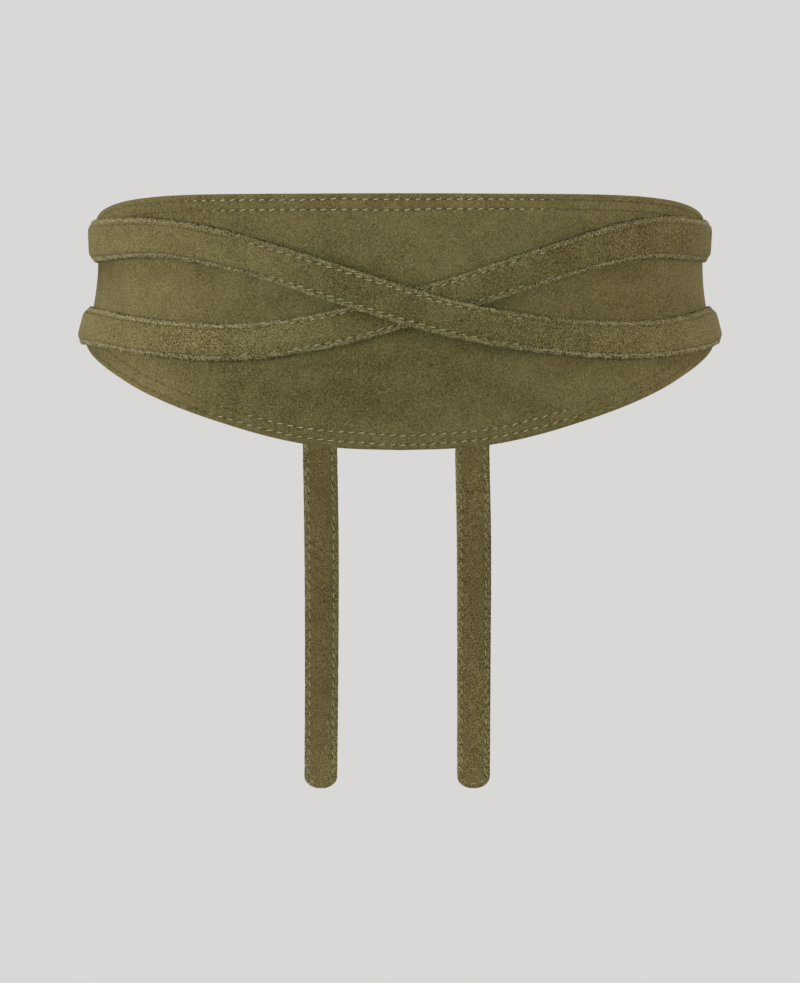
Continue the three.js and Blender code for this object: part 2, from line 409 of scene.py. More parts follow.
def swell(height, direction):
    slope = np.where(height < 0, HIP_FLARE[direction], RIB_FLARE[direction])
    return slope * (np.hypot(height, FLARE_START) - FLARE_START)


def waist_point(angle, height):
    angle, height = np.broadcast_arrays(np.radians(angle), np.asarray(height, float))
    across = np.sin(angle)
    forward = np.cos(angle)
    half_width = WAIST_HALF_WIDTH + swell(height, "side")
    front_or_back = np.where(forward > 0, swell(height, "front"), swell(height, "back"))
    half_depth = WAIST_HALF_DEPTH + front_or_back
    reach = np.abs(across / half_width) ** WAIST_SQUARENESS
    reach = reach + np.abs(forward / half_depth) ** WAIST_SQUARENESS
    radius = reach ** (-1 / WAIST_SQUARENESS)
    return np.stack([radius * across, -radius * forward, height], axis=-1)


def waist_normal(angle, height):
    around = waist_point(angle + NORMAL_NUDGE, height) - waist_point(angle - NORMAL_NUDGE, height)
    up = waist_point(angle, height + NORMAL_NUDGE) - waist_point(angle, height - NORMAL_NUDGE)
    return unit(np.cross(around, up))


def lifted_point(angle, height, lift):
    return waist_point(angle, height) + waist_normal(angle, height) * np.asarray(lift)[..., None]


def angle_of(points):
    """Angles round the waist from the front, towards the wearer's left."""
    return np.degrees(np.arctan2(points[..., 0], -points[..., 1]))


def nap_over_seams(points, part, sooner=None):
    """How far the nap closes over the seams at points: 0 in front and behind, 1 at the sides."""
    angle = angle_of(points)
    on_right, on_left = sooner or CLOSES_SOONER[part]
    closes = smoothstep(np.abs(angle) + np.where(angle > 0, on_left, on_right), *NAP_CLOSES[part])
    return closes * (1 - smoothstep(np.abs(angle), *NAP_OPENS))


def far_sideways(points):
    """1 where the belt is seen edge on in the picture, at the waist's far sides."""
    angle = np.abs(angle_of(points))
    return smoothstep(angle, *FAR_SIDES["from"]) * (1 - smoothstep(angle, *FAR_SIDES["to"]))


def hangs_at(points):
    """1 where a tie hangs free."""
    return smoothstep(-points[..., 2], *HANGS_BELOW)


# The panel.

# Its places are given by the distance round it at about half its height.
EDGE_HEIGHTS = curve_through(PANEL_OUTLINE)
SEAMS_STRAY_BY = curve_through(SEAMS_STRAY)
PANEL_ANGLE_STEP = 0.1
PANEL_ANGLES = np.linspace(-PANEL_END, PANEL_END, round(2 * PANEL_END / PANEL_ANGLE_STEP) + 1)
PANEL_DISTANCES = line_lengths(waist_point(PANEL_ANGLES, PANEL_HALF_HEIGHT))
PANEL_GIRTH = PANEL_DISTANCES[-1]
SLOPE_NUDGE = 0.5

# The face is a little uneven, but not within the first of these distances from an edge.
PANEL_WAVE = {"length": 60, "height": 0.22}
PANEL_RIPPLE = {"length": 17, "height": 0.05}
PANEL_UNEVEN_FROM_TO = (1.5, 12)
PANEL_WAVES = soft_waves(SEEDS["panel_waves"], PANEL_WAVE["length"])
PANEL_RIPPLES = soft_waves(SEEDS["panel_ripples"], PANEL_RIPPLE["length"])

# A seam's groove and its shadow. Where nap closes over it, it keeps a share of its depth, and its
# line is as dark as SHADOW_AT_SIDES says, first for the wearer's right and then for the left.
SEAM_DEPTH = 0.2
SEAM_HALF_WIDTH = 0.42
SEAM_PUCKER = 0.07
SEAM_LEFT_AT_SIDES = 0.4
SHADOW_HALF_WIDTH = 0.3
SHADOW_OF_LINE = 0.32
SHADOW_AT_SIDES = {"top": (0.3, 0.5), "bottom": (0.36, 0.2), "tie": (0.7, 0.45)}
HOLE_SHADOW_POWER = 3


def panel_angle(distance):
    return np.interp(distance, PANEL_DISTANCES, PANEL_ANGLES)


def panel_edges(distance):
    """The heights of both edges at distances round the panel, and the cosines of their slopes."""
    angle = np.abs(panel_angle(distance))
    top, bottom = EDGE_HEIGHTS(angle)
    fuller = PANEL_FULLER_AT_SIDES * smoothstep(angle, *NAP_CLOSES["panel"])
    after = EDGE_HEIGHTS(np.abs(panel_angle(distance + SLOPE_NUDGE)))
    before = EDGE_HEIGHTS(np.abs(panel_angle(distance - SLOPE_NUDGE)))
    cosines = 1 / np.hypot(1, (after - before) / (2 * SLOPE_NUDGE))
    return top + fuller, bottom - fuller, *cosines


def panel_flat_size():
    """The length, height and area that the panel is cut to, in metres."""
    top, bottom, _, _ = panel_edges(np.linspace(0, PANEL_GIRTH, len(PANEL_ANGLES)))
    tall = top - bottom
    return PANEL_GIRTH * MM, np.max(tall) * MM, np.mean(tall) * PANEL_GIRTH * MM * MM


def from_panel_edges(distance, height):
    """How far points of the panel are from its top edge, and from its bottom one."""
    top, bottom, top_cos, bottom_cos = panel_edges(distance)
    return (top - height) * top_cos, (height - bottom) * bottom_cos


def panel_seams(distance):
    """For the top edge, and then for the bottom one: how far in its two seams are, and the
    length that their stitches keep to."""
    angle = np.clip(panel_angle(distance), SEAMS_STRAY[0][0], SEAMS_STRAY[-1][0])
    seams = [seam + by for seam, by in zip(TOP_SEAMS + BOTTOM_SEAMS, SEAMS_STRAY_BY(angle))]
    return (seams[:2], distance), (seams[2:], distance * BOTTOM_LONGER)


def hole_beat(length):
    """1 at each needle hole of a seam, and -1 halfway between them."""
    return np.cos(2 * np.pi * length / STITCH_PITCH)


def sewn_groove(from_edge, seams, length):
    """How deep the seams pull a face in, at a distance from the edge, most at the holes."""
    pull = SEAM_DEPTH + SEAM_PUCKER * hole_beat(length)
    return sum(bell(from_edge, seam, SEAM_HALF_WIDTH) * pull for seam in seams)


def seam_shadow(from_edge, seams, length, closed, at_sides):
    """How dark a seam looks: a line, darker or fainter where nap closes over it, and a mark at
    each hole."""
    hole = (0.5 + 0.5 * hole_beat(length)) ** HOLE_SHADOW_POWER
    dark = mix(mix(SHADOW_OF_LINE, at_sides, closed), 1, hole)
    shadow = sum(bell(from_edge, seam, SHADOW_HALF_WIDTH) * dark for seam in seams)
    return np.clip(shadow, 0, 1)


def panel_lift(distance, height):
    """How far the finished face stands off the plain one."""
    from_edges = from_panel_edges(distance, height)
    nearest = np.minimum(*from_edges)
    inside = np.clip(nearest / PANEL_EDGE_RADIUS, 0, 1)
    rounded = PANEL_EDGE_RADIUS * (1 - np.sqrt(1 - (1 - inside) ** 2))
    uneven = PANEL_WAVE["height"] * PANEL_WAVES(distance, height)
    uneven = uneven + PANEL_RIPPLE["height"] * PANEL_RIPPLES(distance, height)
    grooves = 0
    for from_edge, (seams, length) in zip(from_edges, panel_seams(distance)):
        grooves = grooves + sewn_groove(from_edge, seams, length)
    closed = nap_over_seams(waist_point(panel_angle(distance), height), "panel")
    away = smoothstep(nearest, *PANEL_UNEVEN_FROM_TO)
    return uneven * away - rounded - grooves * mix(1, SEAM_LEFT_AT_SIDES, closed)


def panel_heights(top, bottom):
    """The heights of the outer face's rows, close together near both edges."""
    zone = np.minimum(PANEL_EDGE_ZONE, (top - bottom) * PANEL_EDGE_ZONE_SHARE)
    near = np.linspace(0, 1, PANEL_EDGE_ROWS + 1) ** PANEL_ROWS_CROWD
    between = np.linspace(0, 1, PANEL_MIDDLE_ROWS + 1)[1:-1]
    lower = bottom + near * zone
    upper = top - near[::-1] * zone
    middle = mix(lower[:, -1:], upper[:, :1], between)
    return np.concatenate([lower, middle, upper], axis=1)


def panel_shadows(distance, heights, outer):
    closed = nap_over_seams(outer, "panel")
    shadow = 0
    edges = zip(("top", "bottom"), from_panel_edges(distance, heights), panel_seams(distance))
    for edge, from_edge, (seams, length) in edges:
        at_sides = np.where(panel_angle(distance) < 0, *SHADOW_AT_SIDES[edge])
        shadow = shadow + seam_shadow(from_edge, seams, length, closed, at_sides)
    return shadow


def build_panel(material):
    distance = np.linspace(0, PANEL_GIRTH, round(PANEL_GIRTH / PANEL_COLUMN_STEP) + 1)[:, None]
    angle = panel_angle(distance)
    top, bottom, _, _ = panel_edges(distance)
    heights = panel_heights(top, bottom)
    outer = lifted_point(angle, heights, panel_lift(distance, heights))
    low = bottom + PANEL_INNER_SHORTER
    high = top - PANEL_INNER_SHORTER
    inner = lifted_point(angle, mix(low, high, np.linspace(1, 0, PANEL_INNER_ROWS)), -PANEL_WALL)
    rim_lift = PANEL_RIM["out"] - PANEL_WALL
    top_rim = lifted_point(angle, top - PANEL_RIM["in"], rim_lift)
    bottom_rim = lifted_point(angle, bottom + PANEL_RIM["in"], rim_lift)
    ring = np.concatenate([outer, top_rim, inner, bottom_rim], axis=1)
    seam = np.zeros(ring.shape[:2])
    seam[:, : outer.shape[1]] = panel_shadows(distance, heights, outer)
    masks = {
        "seam": seam,
        "coarse": PANEL_COARSER["amount"] * smoothstep(angle_of(ring), *PANEL_COARSER["from_to"]),
        "raw_edge_and_highlight": np.zeros(ring.shape[:2]),
        "tone_and_shade": nap_tone_and_shade(ring, PANEL_MARKS_AND_SHADE),
        "brown": warmer_sideways(ring),
    }
    faces = closed_body(*ring.shape[:2], outer.shape[1])
    return make_mesh("panel", ring.reshape(-1, 3), faces, material, masks)


# Soft marks in the nap: where they are, how large, and how light or dark. They are partly the nap's
# own lightness and partly painted light and shade, such as the painted shade at the far side on the
# wearer's right, where less light reaches. The panel's nap is coarser towards the wearer's left, and
# all nap is warmer at the sides.
PANEL_MARKS_AND_SHADE = [
    # angle, height, half width, half height, tone
    (0, -60, 44, 20, -0.18),
    (34, -8, 20, 12, 0.04),
    (52, 18, 22, 8, 0.07),
    (70, -12, 22, 16, 0.05),
    (-58, -58, 26, 14, -0.04),
    (-62, 18, 24, 7, -0.05),
    (-82, -2, 14, 12, -0.25),
    (-84, 3, 12, 6, -0.2),
    (-80, -42, 12, 8, -0.2),
    (-30, -18, 10, 8, -0.13),
    (-12, -44, 14, 5, -0.08),
    (-38, -50, 16, 8, -0.06),
    (52, -4, 8, 6, -0.13),
    (60, -19, 12, 6, -0.06),
    (42, -50, 16, 14, 0.08),
    (-46, 20, 12, 8, -0.07),
    (-50, -6, 8, 8, -0.07),
    (-63, -12, 8, 6, 0.07),
    (-52, -53, 8, 7, 0.1),
    (3, 3, 7, 5, -0.07),
    (3, -40, 7, 5, -0.07),
    (-14, -70, 8, 6, 0.07),
    (64, -49, 8, 6, 0.08),
]
TIE_MARKS_AND_SHADE = [
    # angle, height, half width, half height, tone
    (-20, -8, 16, 12, -0.1),
    (-42, 1, 6, 6, 0.06),
    (-86, 9, 10, 10, -0.1),
    (0, -22, 12, 10, -0.08),
    (24, -28, 16, 8, -0.08),
    (66, -28, 22, 10, 0.05),
    (30, -8, 22, 12, -0.1),
    (62, 7, 22, 10, -0.07),
    (0, -138, 1000, 50, -0.1),
    (72, -30, 12, 10, 0.08),
    (-20, -22, 12, 10, -0.06),
]
PANEL_COARSER = {"from_to": (35, 70), "amount": 0.4}
WARMER_SIDES = {"from_to": (15, 75), "right": 0.5, "left": 1.0}


# The soft marks at points: partly the nap's own lightness, partly painted light and shade.
def nap_tone_and_shade(points, marks):
    tone_and_shade = 0
    for angle, height, half_width, half_height, amount in marks:
        sideways = bell(angle_of(points), angle, half_width)
        tone_and_shade = tone_and_shade + amount * sideways * bell(points[..., 2], height, half_height)
    return tone_and_shade


def warmer_sideways(points):
    angle = angle_of(points)
    amount = np.where(angle < 0, WARMER_SIDES["right"], WARMER_SIDES["left"])
    return amount * smoothstep(np.abs(angle), *WARMER_SIDES["from_to"])


# The ties.

# A tie's stations are places along it: arrays of its centres, the ways out, the widths and
# thicknesses, and how far it is gathered for the knot.

def tie_lift(tie, turn):
    """How far a tie's inner face stands off the waist."""
    start, end = tie["over"]
    ramp = LIFT["ramp"]
    on_other = smoothstep(turn, start - ramp, start) - smoothstep(turn, end, end + ramp)
    sideways = np.abs(np.sin(np.radians(turn))) ** 3
    return LIFT["least"] + LIFT["side"] * sideways + LIFT["over_tie"] * on_other


def on_waist(tie, turn, height, lift, width, thickness, gathered):
    """Stations at turns round the waist."""
    angle = tie["side"] * turn
    ones = np.ones(np.shape(turn))
    return {
        "centre": lifted_point(angle, height * ones, lift * ones),
        "out": waist_normal(angle, height * ones),
        "width": width * ones,
        "thickness": thickness * ones,
        "gathered": gathered * ones,
    }


def wrap_stations(tie):
    turn = np.arange(TIE_START, tie["route"][-1][0], WAIST_STEP)
    height, width = curve_through(tie["route"])(turn)
    return on_waist(
        tie, turn, height, tie_lift(tie, turn) + TIE_THICKNESS / 2, width, TIE_THICKNESS, 0
    )


def knot_stations(tie):
    """The stretch that gathers, the one that winds round the other tie, and the turn down."""
    start, start_height, start_width = tie["route"][-1]
    middle = FULL_TURN_BEHIND + tie["side"] * (KNOT["angle"] - 180)
    half_span = KNOT["crossings"] * KNOT["pitch"] / 2
    entry = middle - half_span
    leave = middle + half_span
    knot_lift = LIFT["least"] + KNOT["depth"] + KNOT["thickness"] / 2
    gathered_size = (KNOT["width"], KNOT["thickness"], 1)

    turn = np.arange(start, entry, WAIST_STEP)
    share = smoothstep(turn, start, entry)
    height = mix(start_height, KNOT["height"] + KNOT["rise"], share)
    lift = mix(tie_lift(tie, turn) + TIE_THICKNESS / 2, knot_lift, share)
    width = mix(start_width, KNOT["width"], share)
    thickness = mix(TIE_THICKNESS, KNOT["thickness"], share)
    gathering = on_waist(tie, turn, height, lift, width, thickness, share)

    turn = np.arange(entry, leave, KNOT_STEP)
    phase = np.pi * KNOT["crossings"] * (turn - entry) / (leave - entry)
    height = KNOT["height"] + KNOT["rise"] * np.cos(phase)
    lift = knot_lift + tie["atop_knot"] * KNOT["depth"] * np.sin(phase)
    winding = on_waist(tie, turn, height, lift, *gathered_size)

    bend = np.linspace(0, np.pi / 2, BEND_POINTS)
    degrees = np.degrees(1 / (WAIST_HALF_DEPTH + knot_lift))
    turn = leave + KNOT["turn_radius"] * np.sin(bend) * degrees
    height = KNOT["height"] - KNOT["rise"] - KNOT["turn_radius"] * (1 - np.cos(bend))
    return [gathering, winding, on_waist(tie, turn, height, knot_lift, *gathered_size)]


def hang_stations(tie, knot_end):
    """The free end down to where its tip begins."""
    knot_x, knot_y, knot_z = knot_end["centre"][-1]
    start = -knot_z
    first = tie["hang"][0][0]
    end = tie["hang"][-1][0] - TIP_LENGTH
    # The last station may lie right at the end, so the range goes a little beyond it.
    below = np.arange(start + HANG_STEP, end + HANG_STEP / 50, HANG_STEP)
    x, width = curve_through(tie["hang"])(np.maximum(below, first))
    x = mix(knot_x, x, smoothstep(below, start, first))
    opened = smoothstep(below, start, start + HANG_OPENS_OVER)
    back = np.array([0.0, 1.0, 0.0])
    return {
        "centre": np.stack([x, np.full(below.shape, knot_y), -below], axis=-1),
        "out": unit(mix(knot_end["out"][-1], back, opened[:, None])),
        "width": mix(KNOT["width"], width, opened),
        "thickness": mix(KNOT["thickness"], HANG_THICKNESS, opened),
        "gathered": 1 - opened,
    }


def respaced(stations):
    """The same stations close together where they are seen, with their distance along."""
    centre = stations["centre"]
    length = line_lengths(centre)
    in_front = smoothstep(-centre[:, 1], *TIE_FINE_FROM_TO)
    step = mix(TIE_SPACING["hidden"], TIE_SPACING["front"], in_front)
    step = mix(step, TIE_SPACING["hanging"], hangs_at(centre))
    steps = np.concatenate([[0], np.cumsum(np.diff(length) / step[1:])])
    count = round(steps[-1])
    places = np.interp(np.linspace(0, steps[-1], count + 1), steps, length)
    result = {"distance": places}
    for key, values in stations.items():
        result[key] = along_line(values, length, places)
    return result


def with_frame(stations, side):
    """Adds the directions along and across the tie, and squares the way out to them."""
    along = unit(np.gradient(stations["centre"], axis=0))
    out = squared_to(along, stations["out"])
    return {**stations, "along": along, "out": out, "across": np.cross(out, along) * side}


# How far each edge of a worn tie is drawn in from its plain form.
DRAWN_IN = {
    # edge: in front, at the sides
    "upper": (0.3, 0.42),
    "lower": (0.12, -0.2),
}


def drawn_in(stations):
    centre = stations["centre"]
    closed = nap_over_seams(centre, "tie")
    plain = (1 - hangs_at(centre)) * (1 - stations["gathered"])
    upper, lower = (mix(*DRAWN_IN[edge], closed) * plain for edge in ("upper", "lower"))
    width = stations["width"] - upper - lower
    centre = centre - stations["across"] * ((upper - lower) / 2)[:, None]
    return {**stations, "width": width, "centre": centre}


def tie_stations(tie):
    pieces = [wrap_stations(tie)] + knot_stations(tie)
    pieces.append(hang_stations(tie, pieces[-1]))
    joined = {key: np.concatenate([piece[key] for piece in pieces]) for key in pieces[0]}
    return drawn_in(with_frame(respaced(joined), tie["side"]))


def with_tip(stations):
    """Adds the closely spaced stations of the rounded tip."""
    share = np.sin(np.linspace(0, np.pi / 2, TIP_POINTS)[1:])
    added = {key: np.repeat(values[-1:], len(share), axis=0) for key, values in stations.items()}
    added["centre"] = added["centre"] + added["along"] * (TIP_LENGTH * share)[:, None]
    added["distance"] = added["distance"] + TIP_LENGTH * share
    added["width"] = added["width"] * np.sqrt(1 - (TIP_ROUNDNESS * share) ** 2)
    return {key: np.concatenate([stations[key], added[key]]) for key in stations}


# A tie's section: how far in from an edge the points of its outer and inner face are, and its cut
# edge as distances in and shares of the thickness. The edge is ragged where it is frayed, and a
# little where it hangs, and the raggedness is gone some way in.
OUTER_IN = (0, 0.25, 0.55, 0.9, 1.25, 1.6, 1.9, 2.15, 2.4, 2.65, 2.9, 3.3, 3.9, 4.7, 5.6, 6.6)
INNER_IN = (0.15, 0.8, 1.7, 2.15, 2.4, 2.65, 3.1, 5.0)
CUT_EDGE = {"in": (0, 0.25, 0), "level": (-0.12, -0.17, -0.22), "lower_far_sideways": 0.16}
RAGGED = {"frayed": 0.3, "hanging": 0.05, "over": 0.7, "change_across": 0.4}
TIE_WAVES = {"edge": 1.7, "face": 26, "fold": 30}
TIE_WAVE_HEIGHT = 0.07
GATHERS = {"folds": 3.6, "uneven": 1.2, "depth": 0.42}

# The outer face beyond the seams: how far it is below the middle, how wide it is rounded, and
# where its cut edge starts above the mid level. MIDDLE_RISES is where the face comes up to its
# middle, as distances from the edge, and CROWN is how much higher it is at its centre line. At
# the far sides the edge is bevelled and not rounded. GROOVE_LEFT is the share of a groove's depth
# where the tie is gathered, or where nap closes over it.
FLANGE = {
    # in front, at the sides, at the far sides
    "below": (0.65, 0.12, 0.25),
    "round": (1.2, 2.9, 2.9),
    "edge": (0.05, -0.25, -0.8),
}
BEVEL_POWER = 1.25
MIDDLE_RISES = (2.1, 4.4)
CROWN = 0.12
TIE_GROOVE = 0.2
TIE_PUCKER = 0.08
TIE_HALF_GROOVE = 0.4
GROOVE_LEFT = 0.5
INNER_FACE = {"rounded": 0.35, "over": 0.8, "groove": 0.7}


def columns(stations, *keys):
    """Values of the stations, each as an array with a row for every station."""
    return [stations[key][:, None] for key in keys]


def seam_inset(stations, edge):
    """How far a tie's seam is from its upper or lower edge."""
    centre = stations["centre"]
    closed = nap_over_seams(centre, "tie")
    further = TIE_SEAM_FURTHER_IN[edge] * closed
    further = mix(further, TIE_SEAM_FURTHER_IN["hanging"], hangs_at(centre))
    return (TIE_SEAM + further) * stations["width"] / np.max(stations["width"])


def tie_groove(from_edge, stations, edge):
    inset = seam_inset(stations, edge)[:, None]
    pull = TIE_GROOVE + TIE_PUCKER * hole_beat(stations["distance"][:, None])
    return bell(from_edge, inset, TIE_HALF_GROOVE) * pull


def outer_height(from_edge, stations, edge):
    """How high the outer face is above the tie's middle, at distances in from an edge."""
    centre = stations["centre"]
    width, thickness, gathered = columns(stations, "width", "thickness", "gathered")
    closed = nap_over_seams(centre, "tie")[:, None]
    far = far_sideways(centre)[:, None]
    below, radius, edge_level = (
        mix(mix(in_front, at_side, closed), at_far_side, far)
        for in_front, at_side, at_far_side in FLANGE.values()
    )
    inside = np.clip(from_edge / mix(radius, width / 2, gathered), 0, 1)
    level = thickness / 2 - below * (1 - gathered)
    middle = level + (thickness / 2 - level) * smoothstep(from_edge, *MIDDLE_RISES)
    rounded = 1 - np.sqrt(1 - (1 - inside) ** 2)
    bevelled = (1 - inside) ** BEVEL_POWER
    dome = middle - (level - edge_level) * mix(rounded, bevelled, far)
    crown = CROWN * (1 - np.clip(2 * from_edge / width, 0, 1)) ** 2
    groove = tie_groove(from_edge, stations, edge)
    return dome - crown - groove * mix(1, GROOVE_LEFT, gathered) * mix(1, GROOVE_LEFT, closed)


def inner_height(from_edge, stations, edge):
    rounded = (1 - np.clip(from_edge / INNER_FACE["over"], 0, 1)) ** 2
    height = INNER_FACE["rounded"] * rounded - stations["thickness"][:, None] / 2
    return height + INNER_FACE["groove"] * tie_groove(from_edge, stations, edge)


def gathers(across_share, stations, waves):
    """The lengthwise folds of the stretch that is drawn together in the knot."""
    distance, gathered = columns(stations, "distance", "gathered")
    fold = across_share * GATHERS["folds"] * np.pi + GATHERS["uneven"] * waves(distance, 0)
    return GATHERS["depth"] * gathered * np.cos(fold)


def tie_section(stations, seed):
    """Rings of points round the tie, and each point's distance from the nearer edge."""
    centre = stations["centre"]
    width, thickness, distance = columns(stations, "width", "thickness", "distance")
    edge_waves, face_waves, fold_waves = (
        soft_waves(seed + number, length) for number, length in enumerate(TIE_WAVES.values())
    )

    def face(inset, side, height_of):
        from_edge = np.array(inset)[None, :] * (width / np.max(width))
        across = side * (width / 2 - from_edge)
        height = height_of(from_edge, stations, "upper" if side > 0 else "lower")
        height = height + gathers(across / (width / 2), stations, fold_waves)
        return np.stack([across, height, from_edge])

    def cut_edge(side):
        inset = np.array(CUT_EDGE["in"])[None, :] * np.ones(width.shape)
        lower = CUT_EDGE["lower_far_sideways"] * far_sideways(centre)[:, None]
        height = (np.array(CUT_EDGE["level"])[None, :] - lower) * thickness
        return np.stack([side * (width / 2 - inset), height, inset])

    across, height, from_edge = np.concatenate(
        [
            face(OUTER_IN, -1, outer_height),
            face(OUTER_IN, 1, outer_height)[..., ::-1],
            cut_edge(1),
            face(INNER_IN, 1, inner_height),
            face(INNER_IN, -1, inner_height)[..., ::-1],
            cut_edge(-1)[..., ::-1],
        ],
        axis=-1,
    )
    ragged = mix(RAGGED["frayed"] * frayed_at(centre), RAGGED["hanging"], hangs_at(centre))
    ragged = ragged[:, None] * edge_waves(distance, across * RAGGED["change_across"])
    across = across + np.sign(across) * ragged * np.exp(-from_edge / RAGGED["over"])
    height = height + TIE_WAVE_HEIGHT * face_waves(distance, across)
    sideways = stations["across"][:, None, :] * across[..., None]
    outward = stations["out"][:, None, :] * height[..., None]
    return centre[:, None, :] + sideways + outward, from_edge


# Where the ties' nap stands up coarsely.
COARSE_NAP = [
    # angle, half width, from height, to height, how much
    (-44, 17, -45, -20, 1.0),
    (34, 18, -45, -20, 0.3),
    (62, 30, -45, 25, 0.85),
]
COARSE_AT_EDGES = {"amount": 0.7, "fades": (1.4, 2.4)}
COARSE_WHERE_TIES_HANG = 0.3

# How light the nap is towards a tie's edges, and where that starts to fade and ends: partly the raw
# nap's own lighter colour and partly a painted highlight on rims that are in shade. The free ends
# are lighter on the side that is towards the light, by a painted highlight, and less brown at both
# edges.
RIMS = {
    # amount, fades from, fades to
    "front": (0.45, 0.6, 1.5),
    "flange": (0.11, 1.6, 2.4),
    "side": (0.78, 0.8, 2.0),
    "lit": (0.37, 1.6, 2.6),
    "unlit": (0.14, 1.6, 2.6),
}
# Rims painted lighter or darker in places: partly the nap's own unevenness, partly painted light and
# shade.
UNEVEN_RIMS = [
    # tie, edge, angle, half width, how much lighter, or darker below zero
    ("right", "lower", 58, 26, 1.9),
    ("right", "upper", -38, 18, -0.5),
    ("left", "upper", -50, 30, 1.0),
    ("left", "upper", 36, 26, -0.4),
    ("left", "lower", 52, 20, 1.0),
]
RIM_CLUMPS = {"length": 3.2, "amount": 0.4}
BROWN_WHERE_TIES_HANG = {"edge": 0.4, "middle": 1, "rises": (2.0, 3.0)}


def rim(kind, from_edge):
    amount, start, end = RIMS[kind]
    return amount * (1 - smoothstep(from_edge, start, end))


def coarse_nap(points):
    coarse = 0
    for angle, half_width, low, high, amount in COARSE_NAP:
        in_band = (points[..., 2] > low) & (points[..., 2] < high)
        coarse = coarse + amount * bell(angle_of(points), angle, half_width) * in_band
    return coarse


def uneven_rims(name, points, above):
    lighter = 0
    for tie, edge, angle, half_width, amount in UNEVEN_RIMS:
        here = (above == (edge == "upper")) & (tie == name)
        lighter = lighter + amount * bell(angle_of(points), angle, half_width) * here
    return lighter


def tie_masks(name, stations, points, from_edge):
    """Where the nap is rough and light, partly by a painted highlight at the rims; the seams'
    painted shadow; marks of the nap's own lightness and painted light and shade; and how brown the
    tie is.
    """
    centre = stations["centre"]
    distance = stations["distance"][:, None]
    hangs = hangs_at(centre)[:, None]
    closed = nap_over_seams(centre, "tie")[:, None]
    above = np.sum((points - centre[:, None]) * stations["across"][:, None], axis=-1) > 0
    upper, lower = (seam_inset(stations, edge)[:, None] for edge in ("upper", "lower"))
    at_sides = np.where(centre[:, :1] < 0, *SHADOW_AT_SIDES["tie"])

    # The rims' lightness is partly the raw nap's own and partly a painted highlight.
    worn = mix(rim("front", from_edge) + rim("flange", from_edge), rim("side", from_edge), closed)
    towards_light = points[..., 0] < centre[:, :1]
    hanging = np.where(towards_light, rim("lit", from_edge), rim("unlit", from_edge))
    clumps = soft_waves(SEEDS["rims"], RIM_CLUMPS["length"])(distance, from_edge)
    lightness = 1 + RIM_CLUMPS["amount"] * clumps + uneven_rims(name, points, above)
    brown = BROWN_WHERE_TIES_HANG
    brown_hanging = mix(brown["edge"], brown["middle"], smoothstep(from_edge, *brown["rises"]))
    at_edges = 1 - smoothstep(from_edge, *COARSE_AT_EDGES["fades"])
    coarse = coarse_nap(centre)[:, None] + COARSE_WHERE_TIES_HANG * hangs
    return {
        "raw_edge_and_highlight": mix(worn, hanging, hangs) * lightness,
        "seam": seam_shadow(from_edge, [np.where(above, upper, lower)], distance, closed, at_sides),
        "tone_and_shade": nap_tone_and_shade(points, TIE_MARKS_AND_SHADE),
        "brown": mix(warmer_sideways(points), brown_hanging, hangs),
        "coarse": coarse + COARSE_AT_EDGES["amount"] * at_edges,
    }


def build_tie(tie, stations, material, seed):
    points, from_edge = tie_section(stations, seed)
    faces = closed_body(*points.shape[:2], 2 * len(OUTER_IN), tie["side"] < 0)
    masks = tie_masks(tie["name"], stations, points, from_edge)
    return make_mesh(f"{tie['name']}_tie", points.reshape(-1, 3), faces, material, masks)


# The stitching.

# One stitch is a row of rings along its seam, of which the first three are its needle hole. How dark
# a ring is, is the painted shade where the thread goes down into a hole.
STITCH_SIDES = 6
STITCH_FLATNESS = 0.8
STITCH_AIMS_OVER = 0.6
STITCH_RINGS = [
    # place on the half length, width, rise, how dark
    (-1.4, 1.2, -0.08, 1),
    (-1.17, 1.8, -0.05, 1),
    (-0.93, 1.5, -0.04, 1),
    (-0.84, 0.7, 0.0, 0.1),
    (-0.55, 0.9, 0.11, 0),
    (0.0, 1.0, 0.17, 0),
    (0.55, 0.9, 0.11, 0),
    (0.9, 0.6, -0.05, 0.3),
    (1.0, 0.3, -0.3, 0.8),
]

# How uneven the stitches are, as the spread or the range of each random draw.
STITCHES_VARY = {"turn": 2.5, "size": 0.05, "nap": (0.7, 1.7)}

# What the nap does to stitches: how far it sinks them, how much it shortens them, covers some of
# them, fades them and closes their holes, and how open and wide the holes are without it.
SUNK_UNDER_NAP = {"panel": 0.36, "tie": 0.45}
SUNK_WHERE_TIES_HANG = 0.03
SUNK_WHERE_COVERED = 0.12
SHORTER_UNDER_NAP = {"panel": 0.6, "tie": 0.0}
HOLE_STAYS_OPEN = 0.8
COVERED = {"panel": 0.4, "tie": 1.0}
# OPEN_HOLES, and HOLES_CLOSED_BY below, set how dark the painted shade in the holes is.
OPEN_HOLES = {"panel": 1.0, "tie": 0.6}
WIDER_HOLES = {"panel": 1.2, "tie": 1.0}
FADED_BY = {"covered": 0.45, "hanging": 0.4, "nap": 0.6}
HOLES_CLOSED_BY = {"hanging": 0.3, "nap": 0.2}

# The panel's rows start and end a little in from its ends, and a tie's rows at its first stitch.
# Two seams cross each tie, at distances along it.
PANEL_ROWS = {"starts": 6, "points": 2400, "clear_of_edges": 1.2}
FIRST_TIE_STITCH = 2.5
SEAMS_ACROSS_TIE = (2.5, 16)
SEAM_ACROSS_SUNK = 0.12
TIP_SEAM = 0.8 * TIE_SEAM


